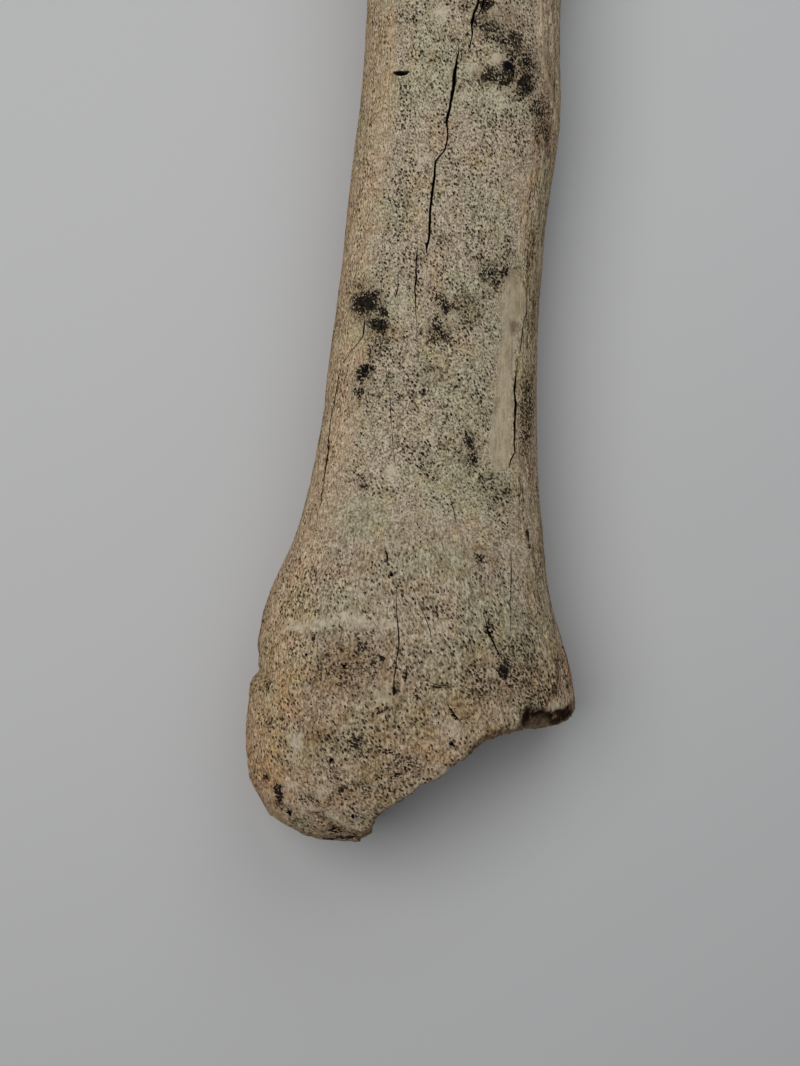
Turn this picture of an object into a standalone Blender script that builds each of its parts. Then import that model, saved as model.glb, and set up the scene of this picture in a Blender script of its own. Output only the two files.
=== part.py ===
# Weathered cow radius (forearm bone), its lower end broken off aslant, lying on its back.
# Metres, +Z up. The shaft runs along Y with the broken lower end at -Y, and the origin is
# on the resting plane, below the middle of the bone. Sizes below are in millimetres.

import math
import random

import bmesh
import bpy
import numpy as np
from mathutils import Vector
from mathutils.bvhtree import BVHTree

MM = 0.001

# Loft of the whole bone: place along the bone, reach to the left and right of the axis,
# height of the front (upper) and back (lower) surface, and how far the middle of the back
# is hollowed between its two lumps.
SECTIONS = [
    # y,    left, right, front, back, hollow
    (-146.6, 19.0, 17.0, 25.0, 11.0, 0.0),
    (-143.6, 28.4, 26.0, 31.0, 4.4, 0.5),
    (-137.8, 34.4, 32.5, 35.8, -0.4, 2.0),
    (-130.0, 36.8, 36.2, 38.9, -2.0, 4.0),
    (-120.0, 37.6, 38.4, 40.2, -3.3, 5.6),
    (-110.0, 37.1, 38.5, 40.7, -3.9, 6.0),
    (-100.0, 36.0, 35.6, 40.4, -2.4, 5.6),
    (-90.0, 34.2, 31.2, 39.5, -0.8, 4.4),
    (-80.0, 30.0, 28.6, 38.3, 1.2, 2.8),
    (-68.0, 27.0, 26.6, 37.0, 3.8, 1.4),
    (-50.0, 25.0, 24.1, 35.8, 6.0, 0.4),
    (-28.0, 23.9, 22.2, 35.2, 7.2, 0.0),
    (-6.0, 23.3, 22.0, 35.4, 7.8, 0.0),
    (14.0, 22.3, 23.4, 35.9, 8.0, 0.0),
    (26.0, 21.5, 24.0, 36.3, 7.9, 0.0),
    (46.0, 22.2, 21.2, 37.0, 7.6, 0.0),
    (66.0, 23.6, 22.6, 37.6, 6.6, 0.4),
    (84.0, 26.4, 25.2, 38.4, 4.6, 1.6),
    (100.0, 31.0, 29.6, 39.6, 1.6, 3.2),
    (113.0, 35.8, 34.4, 41.0, -1.6, 5.0),
    (125.0, 38.8, 38.0, 42.8, -4.0, 6.4),
    (134.0, 39.7, 39.6, 43.6, -3.8, 6.4),
    (141.0, 38.2, 38.6, 43.0, -0.6, 5.0),
    (145.6, 34.8, 35.4, 40.2, 5.0, 3.0),
]
RING_POINTS = 28
WIDEST_LEVEL = 0.42      # where a section is widest, as a share of its height
FRONT_SQUARENESS = 2.35  # 2 is an ellipse, larger is boxier
BACK_SQUARENESS = 2.7
HOLLOW_REACH = 0.78      # share of the half width where the hollow has faded out

# Rises and dips of the surface: centre, radii along X, Y and Z, and push at the centre.
SWELLINGS = [
    # tendon groove down the lower front, and the low ridges beside it
    ((7.0, -104.0, 41.0), (9.0, 30.0, 12.0), (0.0, 0.0, -1.3)),
    ((-12.0, -100.0, 41.0), (9.0, 26.0, 12.0), (0.0, 0.0, 0.5)),
    ((24.0, -102.0, 38.0), (7.0, 26.0, 12.0), (0.3, 0.0, 0.7)),
    # step at the old growth line on the left edge
    ((-37.0, -93.0, 16.0), (9.0, 6.0, 16.0), (-0.9, 0.0, 0.0)),
    ((-37.0, -103.5, 16.0), (9.0, 4.0, 16.0), (0.8, 0.0, 0.0)),
    # rough bump for the biceps, below the joint on the inner front
    ((-15.0, 112.0, 41.0), (10.0, 13.0, 10.0), (-0.5, 0.0, 2.6)),
    # knob for the outer ligament, and a smaller one on the inner side
    ((39.0, 124.0, 22.0), (12.0, 9.0, 12.0), (1.6, 0.0, 0.6)),
    ((-39.0, 131.0, 20.0), (10.0, 8.0, 12.0), (-0.8, 0.0, 0.0)),
    # peak in the middle of the joint's front rim, and the dips beside it
    ((3.0, 144.0, 42.0), (8.0, 9.0, 9.0), (0.0, 1.6, 1.6)),
    ((-20.0, 144.0, 42.0), (9.0, 9.0, 9.0), (0.0, -0.6, -0.9)),
    ((21.0, 144.0, 42.0), (8.0, 9.0, 9.0), (0.0, -1.2, -1.1)),
    # seam where the thin second bone of the forearm had grown on, along the outer back
    ((15.0, 62.0, 6.0), (6.0, 58.0, 9.0), (0.6, 0.0, -2.2)),
    ((5.0, 40.0, 7.0), (7.0, 60.0, 8.0), (0.0, 0.0, 1.2)),
]

# Broken lower edge as seen from above, from the lobe's tip to the right corner, and how
# far the foot of the break lies inside its upper lip there (below zero, outside it).
BREAK_LINE = [
    # x,    y,     undercut
    (-8.9, -148.0, 1.5), (-7.8, -142.6, 3.0), (-6.4, -140.4, 3.5), (-5.3, -137.5, 4.5),
    (-2.3, -134.6, 5.0), (0.2, -133.0, 5.5), (2.6, -130.9, 5.5), (4.0, -129.0, 5.5),
    (6.9, -128.1, 5.5), (9.0, -126.4, 6.0), (10.5, -123.9, 6.0), (13.4, -121.9, 6.0),
    (15.8, -119.7, 5.5), (19.8, -117.0, 4.5), (23.2, -115.5, 3.5), (26.5, -114.8, 2.0),
    (29.5, -114.8, 1.0), (32.6, -114.5, -0.5), (35.2, -112.8, -1.5), (39.0, -109.0, -2.0),
]
BREAK_ENDS = ((-60.0, -172.0, 0.0), (80.0, -88.0, 0.0))
BREAK_BLOCK = 90.0       # how far the cut reaches past the bone
BREAK_LAYERS = 11
BREAK_FOOT = -6.0
BREAK_TOP = 49.0         # above the whole bone
BREAK_LIP = 37.0         # height of the break's upper lip
BREAK_ROUGHNESS = 0.8
BREAK_SEED = 7

# Rounded scoops, as a centre and radii: the right corner, where the thin wall is gone and
# the inner bone shows, and the shallow joint face on the lobe's end.
SCOOPS = {
    "corner scoop": ((30.8, -113.7, 38.0), (5.6, 3.6, 9.0)),
    "joint face": ((-22.5, -153.8, 13.5), (14.0, 12.0, 12.0)),
}
SCOOP_SEGMENTS = 20

# Groove under the joint's margin on the lobe, as seen from above.
LEDGE_LINE = [(-34.0, -130.0), (-28.5, -131.5), (-22.4, -133.6), (-18.4, -136.2),
              (-14.6, -139.2), (-8.0, -142.0)]
LEDGE_RADIUS = 1.4
LEDGE_SUNK = 0.3         # how far the groove's centre lies below the surface

# Drying cracks on the front: place on the bone, and width there.
LONG_CRACK = [(-1.0, 32.6, 0.3), (-0.8, 27.4, 0.6), (-1.3, 24.5, 1.0), (-1.5, 21.0, 1.1),
              (-1.9, 16.8, 0.9), (-1.8, 11.0, 0.8), (-2.2, 8.9, 0.6), (-3.8, 7.0, 0.5),
              (-4.0, 3.7, 0.8), (-4.0, -1.5, 0.8), (-4.3, -8.0, 0.7), (-4.4, -12.7, 0.3)]
TOP_CRACK = [(6.0, 74.0, 0.3), (5.5, 64.0, 0.6), (4.5, 52.0, 0.9), (3.0, 42.8, 1.1),
             (1.5, 37.4, 0.9), (1.9, 34.4, 0.7), (1.5, 31.3, 0.3)]
CRACK_DEPTH = 4.0
CRACK_LEVEL = 36.3       # height of the front surface along the cracks

# The dished joint at the upper end takes the shape of a roller that lies across the bone:
# its radius, its two swells (middle, half width and height), its axis's place along the
# bone and height, and half its length.
ROLLER_RADIUS = 22.4
ROLLER_SWELLS = [(-19.0, 13.0, 3.4), (16.0, 9.0, 1.7)]
ROLLER_AXIS = (161.2, 21.0)
ROLLER_REACH = 44.0
ROLLER_RINGS = 23
ROLLER_STEPS = 60

GROUND_BLOCK = (200.0, 400.0, 20.0)
SHARP_ANGLE = 40.0       # degrees, past which an edge is shaded sharp

BONE_COLOUR = (0.43, 0.36, 0.25, 1.0)
BONE_ROUGHNESS = 0.8
MERGE_DISTANCE = 0.00001


def clear_scene():
    for thing in list(bpy.data.objects):
        bpy.data.objects.remove(thing, do_unlink=True)


def make_collection(name):
    group = bpy.data.collections.new(name)
    bpy.context.scene.collection.children.link(group)
    return group


def bone_material():
    material = bpy.data.materials.new("dry bone")
    material.use_nodes = True
    shader = material.node_tree.nodes["Principled BSDF"]
    shader.inputs["Base Color"].default_value = BONE_COLOUR
    shader.inputs["Roughness"].default_value = BONE_ROUGHNESS
    shader.inputs["Metallic"].default_value = 0.0
    return material


def add_object(name, bm, group):
    mesh = bpy.data.meshes.new(name)
    bm.to_mesh(mesh)
    bm.free()
    thing = bpy.data.objects.new(name, mesh)
    group.objects.link(thing)
    return thing


def as_mesh(curve_object, group):
    """Swap a filled curve for the same shape as a closed mesh."""
    name = curve_object.name
    bpy.context.view_layer.update()
    graph = bpy.context.evaluated_depsgraph_get()
    mesh = bpy.data.meshes.new_from_object(curve_object.evaluated_get(graph))
    bm = bmesh.new()
    bm.from_mesh(mesh)
    bmesh.ops.remove_doubles(bm, verts=bm.verts, dist=MERGE_DISTANCE)
    bmesh.ops.recalc_face_normals(bm, faces=bm.faces)
    place = curve_object.matrix_world.copy()
    bpy.data.objects.remove(curve_object, do_unlink=True)
    thing = add_object(name, bm, group)
    thing.matrix_world = place
    return thing


def boxy(value, squareness):
    return math.copysign(abs(value) ** (2.0 / squareness), value)


def shape_section(verts, section):
    """Turn a unit circle's vertices into one cross-section of the bone."""
    y, left, right, front, back, hollow = section
    level = back + (front - back) * WIDEST_LEVEL
    for vert in verts:
        across, up = vert.co.x, vert.co.y
        x = boxy(across, FRONT_SQUARENESS if up > 0 else BACK_SQUARENESS)
        if up > 0:
            z = level + (front - level) * boxy(up, FRONT_SQUARENESS)
        else:
            z = level + (level - back) * boxy(up, BACK_SQUARENESS)
            z += hollow * max(0.0, 1.0 - (x / HOLLOW_REACH) ** 2) ** 2 * -up
        vert.co = Vector((x * (right if x > 0 else left), y, z)) * MM


def swell(verts):
    """Push the surface out or in around each swelling, fading smoothly with distance."""
    for vert in verts:
        start = vert.co / MM
        for centre, radii, push in SWELLINGS:
            away = [(a - b) / r for a, b, r in zip(start, centre, radii)]
            share = math.exp(-sum(part * part for part in away))
            vert.co += Vector(push) * share * MM


def make_bone(group):
    bm = bmesh.new()
    rings = []
    for section in SECTIONS:
        ring = bmesh.ops.create_circle(bm, cap_ends=False, radius=1.0, segments=RING_POINTS)
        shape_section(ring["verts"], section)
        around = [edge for vert in ring["verts"] for edge in vert.link_edges]
        rings.append(list(dict.fromkeys(around)))
    for lower, upper in zip(rings, rings[1:]):
        bmesh.ops.bridge_loops(bm, edges=lower + upper)
    for end in (rings[0], rings[-1]):
        bmesh.ops.contextual_create(bm, geom=end)
    swell(bm.verts)
    bmesh.ops.recalc_face_normals(bm, faces=bm.faces)
    bone = add_object("bone", bm, group)
    rounding = bone.modifiers.new("rounding", "SUBSURF")
    rounding.levels = 1
    rounding.render_levels = 1
    return bone


def front_height(bone):
    """Give a function that reads the bone's front surface height at a place, in mm."""
    bpy.context.view_layer.update()
    tree = BVHTree.FromObject(bone, bpy.context.evaluated_depsgraph_get())

    def height(x, y):
        above = Vector((x, y, 2.0 * BREAK_TOP)) * MM
        hit = tree.ray_cast(above, Vector((0.0, 0.0, -1.0)))
        return hit[0].z / MM
    return height


def make_break(group):
    """A rough slanting wall, pushed outwards into the block that is broken off."""
    rng = random.Random(BREAK_SEED)
    outwards = Vector((1.0, -1.0, 0.0)).normalized()
    line = [BREAK_ENDS[0]] + BREAK_LINE + [BREAK_ENDS[1]]
    along = [x + y for x, y, undercut in line]
    undercuts = [undercut for x, y, undercut in line]
    rise = (BREAK_TOP - BREAK_FOOT) / BREAK_LAYERS
    bm = bmesh.new()
    row = [bm.verts.new((x, y, BREAK_FOOT)) for x, y, undercut in line]
    edges = [bm.edges.new(pair) for pair in zip(row, row[1:])]
    for layer in range(BREAK_LAYERS):
        grown = bmesh.ops.extrude_edge_only(bm, edges=edges)["geom"]
        verts = {part for part in grown if isinstance(part, bmesh.types.BMVert)}
        edges = [part for part in grown if isinstance(part, bmesh.types.BMEdge)]
        edges = [edge for edge in edges if verts.issuperset(edge.verts)]
        bmesh.ops.translate(bm, vec=(0.0, 0.0, rise), verts=list(verts))
    for vert in bm.verts:
        depth = 1.0 - vert.co.z / BREAK_LIP
        shift = np.interp(vert.co.x + vert.co.y, along, undercuts) * depth
        if depth > 0.0:
            shift += rng.uniform(-1.0, 1.0) * BREAK_ROUGHNESS
        vert.co -= outwards * shift
    wall = list(bm.faces)
    block = bmesh.ops.extrude_face_region(bm, geom=wall, use_keep_orig=True)["geom"]
    verts = [part for part in block if isinstance(part, bmesh.types.BMVert)]
    bmesh.ops.translate(bm, vec=outwards * BREAK_BLOCK, verts=verts)
    bmesh.ops.triangulate(bm, faces=bm.faces)
    bmesh.ops.recalc_face_normals(bm, faces=bm.faces)
    bmesh.ops.scale(bm, vec=(MM, MM, MM), verts=bm.verts)
    return add_object("broken corner", bm, group)


def make_scoop(name, group):
    centre, radii = SCOOPS[name]
    bm = bmesh.new()
    bmesh.ops.create_uvsphere(
        bm, u_segments=SCOOP_SEGMENTS, v_segments=SCOOP_SEGMENTS // 2, radius=1.0
    )
    bmesh.ops.scale(bm, vec=Vector(radii) * MM, verts=bm.verts)
    bmesh.ops.translate(bm, vec=Vector(centre) * MM, verts=bm.verts)
    return add_object(name, bm, group)


def make_ledge(height, group):
    """A round tube laid along the joint's margin, which leaves a groove there."""
    curve = bpy.data.curves.new("ledge", "CURVE")
    curve.dimensions = "3D"
    curve.bevel_depth = LEDGE_RADIUS * MM
    curve.bevel_resolution = 1
    curve.use_fill_caps = True
    spline = curve.splines.new("POLY")
    spline.points.add(len(LEDGE_LINE) - 1)
    for point, (x, y) in zip(spline.points, LEDGE_LINE):
        point.co = (x * MM, y * MM, (height(x, y) - LEDGE_SUNK) * MM, 1.0)
    thing = bpy.data.objects.new("ledge", curve)
    group.objects.link(thing)
    return as_mesh(thing, group)


def crack_outline(path):
    """Both sides of a crack, each half its width off the path, as one closed outline."""
    left, right = [], []
    for index, (x, y, width) in enumerate(path):
        before = Vector(path[max(index - 1, 0)][:2])
        after = Vector(path[min(index + 1, len(path) - 1)][:2])
        along = (after - before).normalized()
        aside = Vector((-along.y, along.x)) * width / 2.0
        left.append(Vector((x, y)) + aside)
        right.append(Vector((x, y)) - aside)
    return left + right[::-1]


def make_crack(name, path, group):
    reach = BREAK_TOP - CRACK_LEVEL
    curve = bpy.data.curves.new(name, "CURVE")
    curve.dimensions = "2D"
    curve.fill_mode = "BOTH"
    curve.extrude = reach * MM
    outline = crack_outline(path)
    spline = curve.splines.new("POLY")
    spline.points.add(len(outline) - 1)
    for point, place in zip(spline.points, outline):
        point.co = (place.x * MM, place.y * MM, 0.0, 1.0)
    spline.use_cyclic_u = True
    thing = bpy.data.objects.new(name, curve)
    thing.location.z = (CRACK_LEVEL - CRACK_DEPTH + reach) * MM
    group.objects.link(thing)
    return as_mesh(thing, group)


def roller_radius(across):
    radius = ROLLER_RADIUS
    for middle, half_width, height in ROLLER_SWELLS:
        radius += height * math.exp(-(((across - middle) / half_width) ** 2))
    return radius


def make_roller(group):
    """The turned end of the upper arm bone, whose shape the dished joint takes."""
    places = np.linspace(-ROLLER_REACH, ROLLER_REACH, ROLLER_RINGS)
    profile = [(-ROLLER_REACH, 0.0)] + [(x, roller_radius(x)) for x in places]
    profile.append((ROLLER_REACH, 0.0))
    bm = bmesh.new()
    verts = [bm.verts.new((x * MM, 0.0, radius * MM)) for x, radius in profile]
    for pair in zip(verts, verts[1:]):
        bm.edges.new(pair)
    thing = add_object("roller", bm, group)
    thing.location = Vector((0.0,) + ROLLER_AXIS) * MM
    turn = thing.modifiers.new("turn", "SCREW")
    turn.axis = "X"
    turn.angle = math.tau
    turn.steps = ROLLER_STEPS
    turn.render_steps = ROLLER_STEPS
    turn.use_merge_vertices = True
    turn.merge_threshold = MERGE_DISTANCE
    turn.use_normal_calculate = True
    return thing


def make_ground(group):
    """What lies below the resting plane, which leaves small worn flats on the lumps."""
    depth = GROUND_BLOCK[2]
    bm = bmesh.new()
    bmesh.ops.create_cube(bm, size=1.0)
    bmesh.ops.scale(bm, vec=Vector(GROUND_BLOCK) * MM, verts=bm.verts)
    bmesh.ops.translate(bm, vec=(0.0, 0.0, -depth / 2.0 * MM), verts=bm.verts)
    return add_object("ground", bm, group)


def cut(bone, cutter):
    cutter.hide_render = True
    cutter.display_type = "WIRE"
    removal = bone.modifiers.new(cutter.name, "BOOLEAN")
    removal.operation = "DIFFERENCE"
    removal.solver = "EXACT"
    removal.object = cutter


def main():
    clear_scene()
    parts = make_collection("cow leg bone")
    cutters = make_collection("cutters")
    bone = make_bone(parts)
    bone.data.materials.append(bone_material())
    height = front_height(bone)
    shapes = [
        make_roller(cutters),
        make_break(cutters),
        make_scoop("corner scoop", cutters),
        make_scoop("joint face", cutters),
        make_ledge(height, cutters),
        make_crack("long crack", LONG_CRACK, cutters),
        make_crack("top crack", TOP_CRACK, cutters),
        make_ground(cutters),
    ]
    for shape in shapes:
        cut(bone, shape)
    bone.data.shade_smooth()
    bone.data.set_sharp_from_angle(angle=math.radians(SHARP_ANGLE))


main()
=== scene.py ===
# Weathered cow leg bone on a pale floor: its fine surface, drying cracks, stains and light.
# Lengths below are in millimetres unless a note says otherwise; the scene itself is in metres.
import math
from functools import reduce

import bmesh
import bpy
import numpy as np
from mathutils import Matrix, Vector, noise
from mathutils.bvhtree import BVHTree
from mathutils.kdtree import KDTree


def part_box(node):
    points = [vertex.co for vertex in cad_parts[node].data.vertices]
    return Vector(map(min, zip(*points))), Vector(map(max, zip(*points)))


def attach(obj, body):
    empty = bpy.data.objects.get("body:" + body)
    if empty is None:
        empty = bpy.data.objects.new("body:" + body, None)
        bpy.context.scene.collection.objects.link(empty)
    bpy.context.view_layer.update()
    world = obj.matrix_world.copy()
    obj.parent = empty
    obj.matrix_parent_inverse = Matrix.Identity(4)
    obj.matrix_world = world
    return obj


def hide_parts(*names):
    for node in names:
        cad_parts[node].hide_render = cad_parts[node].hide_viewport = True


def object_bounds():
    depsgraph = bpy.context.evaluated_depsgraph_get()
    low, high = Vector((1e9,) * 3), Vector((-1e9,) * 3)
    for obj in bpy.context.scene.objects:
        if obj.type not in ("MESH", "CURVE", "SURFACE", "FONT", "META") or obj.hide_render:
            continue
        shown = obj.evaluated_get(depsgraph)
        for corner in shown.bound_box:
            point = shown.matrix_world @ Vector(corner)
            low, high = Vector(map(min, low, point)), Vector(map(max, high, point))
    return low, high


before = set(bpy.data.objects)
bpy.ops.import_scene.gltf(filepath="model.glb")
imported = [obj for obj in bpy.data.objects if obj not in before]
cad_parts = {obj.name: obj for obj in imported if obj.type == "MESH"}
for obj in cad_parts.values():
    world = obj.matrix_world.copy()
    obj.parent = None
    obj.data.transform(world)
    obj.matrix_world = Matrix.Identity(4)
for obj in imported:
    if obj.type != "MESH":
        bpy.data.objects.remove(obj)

mm = 0.001
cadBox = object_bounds()
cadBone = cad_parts["bone"]


# Camera: straight above the visible part of the bone, turned a little to the left

cameraSet = dict(
    place=(-5.25, -74.5, 420.0),
    turn=4.5,        # degrees
    lens=59.44,
    sensor=36.0,     # along the picture's long side
)


def makeCamera():
    data = bpy.data.cameras.new("camera")
    data.lens = cameraSet["lens"]
    data.sensor_width = cameraSet["sensor"]
    data.clip_start = 0.01
    camera = bpy.data.objects.new("camera", data)
    camera.location = Vector(cameraSet["place"]) * mm
    camera.rotation_euler = (0.0, 0.0, math.radians(cameraSet["turn"]))
    bpy.context.collection.objects.link(camera)
    bpy.context.scene.camera = camera


makeCamera()
print("camera ready")


# Small helpers

def smoothStep(low, high, values):
    share = np.clip((np.asarray(values) - low) / (high - low), 0.0, 1.0)
    return share * share * (3.0 - 2.0 * share)


def readNoise(places, size, seed, octaves=3):
    # smooth noise from about -1 to 1; size is the width of a swell, one number or one per axis
    spots = places / np.asarray(size, dtype=float) + seed * 17.3
    return np.array([noise.fractal(Vector(spot), 1.0, 2.0, octaves) for spot in spots])


def readCells(places, size, seed):
    # distance to the nearest and to the second nearest of points strewn size apart
    spots = places / np.asarray(size, dtype=float) + seed * 11.7
    near = [noise.voronoi(Vector(spot))[0][:2] for spot in spots]
    return np.array(near).T


def pathReach(places, path):
    # how far each place lies from a path on the front, seen from above, in the path's half widths
    best = np.full(len(places), 1e9)
    spots = places[:, :2]
    for (x, y, first), (nextX, nextY, second) in zip(path, path[1:]):
        along = np.array([nextX - x, nextY - y])
        share = np.clip((spots - (x, y)) @ along / (along @ along), 0.0, 1.0)
        away = np.linalg.norm(spots - (x, y) - share[:, None] * along, axis=1)
        best = np.minimum(best, away / (first + (second - first) * share))
    return best


def bowlReach(places, centre, radii):
    # how far each place lies from the middle of an ellipsoid, in its radii
    return np.linalg.norm((places - np.array(centre)) / np.array(radii), axis=1)


def pointTree(points):
    tree = KDTree(len(points))
    for index, point in enumerate(points):
        tree.insert(Vector(point), index)
    tree.balance()
    return tree


def readVectors(items, name):
    flat = np.empty(len(items) * 3)
    items.foreach_get(name, flat)
    return flat.reshape(-1, 3)


def meshPlaces(mesh):
    return readVectors(mesh.vertices, "co") / mm


def setPlaces(mesh, places):
    mesh.vertices.foreach_set("co", (places * mm).ravel())
    mesh.update()


def addObject(name, mesh):
    thing = bpy.data.objects.new(name, mesh)
    bpy.context.collection.objects.link(thing)
    return thing


def bakeModifiers(thing):
    # keep the shape that the modifiers make as the piece's own mesh
    bpy.context.view_layer.update()
    graph = bpy.context.evaluated_depsgraph_get()
    mesh = bpy.data.meshes.new_from_object(thing.evaluated_get(graph))
    thing.modifiers.clear()
    old = thing.data
    thing.data = mesh
    bpy.data.meshes.remove(old)


# Even mesh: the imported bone's own shape, without its cracks, in small even faces

evenSet = dict(
    spacing=1.3,          # between the points of the even mesh; half of it on the front
    relax=3,
    crackPatch=((-9.0, 9.5), (-15.0, 76.0), 30.0),   # where the cracks are: X, Y, least height
    crackFloor=33.4,      # below it, inside the patch, is a crack's floor
    frontLevel=11.0,      # above it the surface faces the camera
    frontEnd=52.0,        # past it, towards the upper joint, the photo shows nothing
    breakZone=-100.0,     # below it, along the bone, is the broken end
)


def isCrackWall(face):
    (left, right), (low, high), level = evenSet["crackPatch"]
    x, y, z = face.calc_center_median() / mm
    if not (left < x < right and low < y < high and z > level):
        return False
    return abs(face.normal.z) < 0.6 or z < evenSet["crackFloor"]


def makeEvenBone():
    bm = bmesh.new()
    bm.from_mesh(cadBone.data)
    bmesh.ops.remove_doubles(bm, verts=bm.verts, dist=0.000001)
    walls = [face for face in bm.faces if isCrackWall(face)]
    bmesh.ops.delete(bm, geom=walls, context="FACES")
    openEdges = [edge for edge in bm.edges if edge.is_boundary]
    filled = bmesh.ops.holes_fill(bm, edges=openEdges, sides=0)["faces"]
    bmesh.ops.triangulate(bm, faces=filled)
    mesh = bpy.data.meshes.new("weathered_bone")
    bm.to_mesh(mesh)
    bm.free()
    bone = addObject("weathered_bone", mesh)
    even = bone.modifiers.new("even", "REMESH")
    even.mode = "VOXEL"
    even.voxel_size = evenSet["spacing"] * mm
    bakeModifiers(bone)
    refine(bone.data)
    return bone


def relax(bm):
    allAxes = dict(use_axis_x=True, use_axis_y=True, use_axis_z=True)
    bmesh.ops.smooth_vert(bm, verts=bm.verts, factor=0.5, **allAxes)


def refine(mesh):
    bm = bmesh.new()
    bm.from_mesh(mesh)
    for turn in range(evenSet["relax"]):
        relax(bm)
    level, end, zone = (evenSet[key] * mm for key in ("frontLevel", "frontEnd", "breakZone"))
    front = [
        edge for edge in bm.edges
        if all((vert.co.z > level and vert.co.y < end) or vert.co.y < zone for vert in edge.verts)
    ]
    bmesh.ops.subdivide_edges(bm, edges=front, cuts=1, use_grid_fill=True)
    relax(bm)
    bm.to_mesh(mesh)
    bm.free()


bone = makeEvenBone()
bonePlaces = meshPlaces(bone.data)
boneNormals = readVectors(bone.data.vertex_normals, "vector")
print("even mesh:", len(bonePlaces), "points")


# Grain: places measured along the bone's own fibres, which spread with it towards its ends

grainSet = dict(
    stations=24,
    halfWidth=22.0,       # the middle of the shaft, which the other places are scaled to
    halfHeight=14.0,
    lowest=-108.0,        # below it the corner is broken off, so the last whole width is kept
)


def grainPlaces(places):
    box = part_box("bone")
    solid = meshPlaces(cadBone.data)
    low = max(box[0][1] / mm + 6.0, grainSet["lowest"])
    stations = np.linspace(low, box[1][1] / mm - 6.0, grainSet["stations"])
    reach = stations[1] - stations[0]
    rows = [solid[np.abs(solid[:, 1] - y) < reach] for y in stations]
    edges = [
        np.interp(places[:, 1], stations, [edge(row[:, axis]) for row in rows])
        for axis in (0, 2) for edge in (np.min, np.max)
    ]
    left, right, bottom, top = edges
    across = (places[:, 0] - (left + right) / 2.0) / (right - left) * 2.0 * grainSet["halfWidth"]
    up = (places[:, 2] - (bottom + top) / 2.0) / (top - bottom) * 2.0 * grainSet["halfHeight"]
    return np.stack([across, places[:, 1], up], axis=1)


# Zones: from where to where each of them grows from nothing to whole

zoneSet = dict(
    front=(-2.0, 5.0),            # up, in grain places
    back=(3.0, -5.0),
    left=(-0.56, -0.84),          # across, in half widths
    right=(0.66, 0.84),
    seen=(56.0, 44.0),            # along the bone; past it the photo shows nothing
    streaky=(-60.0, -88.0),
    lobe=(-88.0, -112.0),
    lobeRelief=(-84.0, -118.0),
    ends=(28.0, 60.0),            # along, away from the middle of the shaft
    middle=-12.0,
)

grain = grainPlaces(bonePlaces)
frontShare = smoothStep(*zoneSet["front"], grain[:, 2])


# Broken end: where the break runs, so that its face can be made spongy

breakSet = dict(
    line=[(-8.9, -148.0, 1.5), (-7.8, -142.6, 3.0), (-6.4, -140.4, 3.5), (-5.3, -137.5, 4.5),
          (-2.3, -134.6, 5.0), (0.2, -133.0, 5.5), (2.6, -130.9, 5.5), (4.0, -129.0, 5.5),
          (6.9, -128.1, 5.5), (9.0, -126.4, 6.0), (10.5, -123.9, 6.0), (13.4, -121.9, 6.0),
          (15.8, -119.7, 5.5), (19.8, -117.0, 4.5), (23.2, -115.5, 3.5), (26.5, -114.8, 2.0),
          (29.5, -114.8, 1.0), (32.6, -114.5, -0.5), (35.2, -112.8, -1.5), (39.0, -109.0, -2.0)],
    # where the front's own edge has crumbled too: place along the break (X + Y), width, depth
    rim=[(-158.0, 1.0, 0.8), (-150.4, 1.6, 1.0), (-142.8, 0.6, 0.5), (-136.9, 0.2, 0.2), (-117.4, 0.2, 0.2),
         (-110.0, 0.7, 0.9), (-103.9, 1.4, 1.5), (-97.2, 1.9, 1.6), (-92.3, 1.4, 1.3), (-89.5, 1.3, 1.6),
         (-87.6, 2.8, 4.0), (-85.6, 4.3, 5.0), (-81.9, 4.6, 5.0), (-77.6, 3.4, 4.0), (-70.0, 1.2, 1.0)],
    lip=37.0,             # height of the break's upper edge
    reach=2.0,            # how near the break's wall a place counts as broken
    scoop=((30.8, -113.7, 38.0), (5.6, 3.6, 9.0)),
    rind=(0.7, 2.6),      # the dense outer bone, from the edge inwards
    cell=1.9,
    depth=1.5,
    seed=3,
)


def breakShare(places):
    line = np.array(breakSet["line"])
    undercut = np.interp(places[:, 0] + places[:, 1], line[:, 0] + line[:, 1], line[:, 2])
    shift = undercut * (1.0 - places[:, 2] / breakSet["lip"]) / math.sqrt(2.0)
    spots = places + np.stack([shift, -shift, np.zeros(len(places))], axis=1)
    away = pathReach(spots, [(x, y, breakSet["reach"]) for x, y, under in breakSet["line"]])
    scooped = bowlReach(places, *breakSet["scoop"])
    return np.maximum(1.0 - smoothStep(0.5, 1.0, away), 1.0 - smoothStep(1.02, 1.16, scooped))


def rimShare(places):
    # the crumbled strip along the break that the front shows, and how deep it lies
    stops, widths, depths = np.array(breakSet["rim"]).T
    width = np.interp(places[:, 0] + places[:, 1], stops, widths)
    off = pathReach(places, [(x, y, 1.0) for x, y, under in breakSet["line"]])
    off += readNoise(places, 1.3, breakSet["seed"] + 4, 2) * 0.4
    depth = np.interp(places[:, 0] + places[:, 1], stops, depths)
    soft = 0.25 + depth * 0.08
    share = (1.0 - smoothStep(width - soft, width + soft, off)) * frontShare
    return share, share * depth


def edgeDistance(places, inside):
    # how far each place inside a zone lies from the zone's edge
    tree = pointTree(places[~inside])
    distance = np.zeros(len(places))
    distance[inside] = [tree.find(Vector(place))[2] for place in places[inside]]
    return distance


broken = breakShare(bonePlaces)
rindDistance = edgeDistance(bonePlaces, broken > 0.5)
sponge = smoothStep(*breakSet["rind"], rindDistance)
rim, rimDepth = rimShare(bonePlaces)


# Joints: the dished upper end and the small face on the lobe, which are smoother than the rest

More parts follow.
